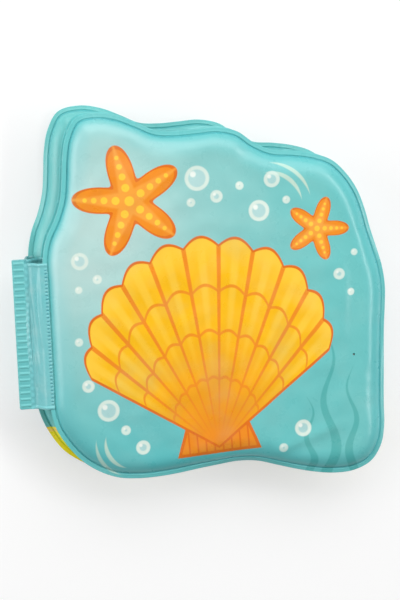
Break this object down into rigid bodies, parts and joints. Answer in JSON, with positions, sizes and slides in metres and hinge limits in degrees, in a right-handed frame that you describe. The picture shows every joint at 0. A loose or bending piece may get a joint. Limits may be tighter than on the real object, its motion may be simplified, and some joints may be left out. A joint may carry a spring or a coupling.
{
  "type": "bath book",
  "caption": "Soft padded bath book with a wavy die-cut outline; foam-filled vinyl leaves turn on thin tabs welded together into a ribbed spine bar.",
  "frame": {"origin": "centre of the closed book's box, on the surface that its back cover lies on", "axes": "+Z out of the front cover, +Y to the top of the cover, +X from the spine to the opening edge"},
  "size_m": [0.1602, 0.164, 0.0274],
  "materials": {
    "cover_print": "satin",
    "leaf_vinyl": "satin",
    "sand_print": "satin",
    "tab_vinyl": "satin",
    "weld_bar": "satin",
    "foam": "matte",
    "squeaker_plastic": "satin",
    "whistle_plastic": "satin"
  },
  "bodies": {
    "spine_page": {"page_front_film": "leaf_vinyl", "page_back_film": "leaf_vinyl", "page_foam": "foam", "cover_front_tab": "tab_vinyl", "cover_back_tab": "tab_vinyl", "page_front_tab": "tab_vinyl", "page_back_tab": "tab_vinyl", "back_front_tab": "tab_vinyl", "back_back_tab": "tab_vinyl", "binding_bar": "weld_bar"},
    "front_cover": {"cover_front_film": "cover_print", "cover_back_film": "leaf_vinyl", "cover_foam": "foam", "squeaker_bellows": "squeaker_plastic", "squeaker_whistle": "whistle_plastic", "squeaker_reed": "whistle_plastic"},
    "back_cover": {"back_front_film": "sand_print", "back_back_film": "leaf_vinyl", "back_foam": "foam"}
  },
  "joints": [
    {"name": "cover_hinge", "type": "hinge", "parent": "spine_page", "child": "front_cover", "pos_m": [-0.06771, -0.01345, 0.0234], "axis": [0, -1, 0], "range_deg": [0, 179.5]},
    {"name": "back_hinge", "type": "hinge", "parent": "spine_page", "child": "back_cover", "pos_m": [-0.07221, -0.01185, 0.004], "axis": [0, 1, 0], "range_deg": [0, 179.5]}
  ]
}
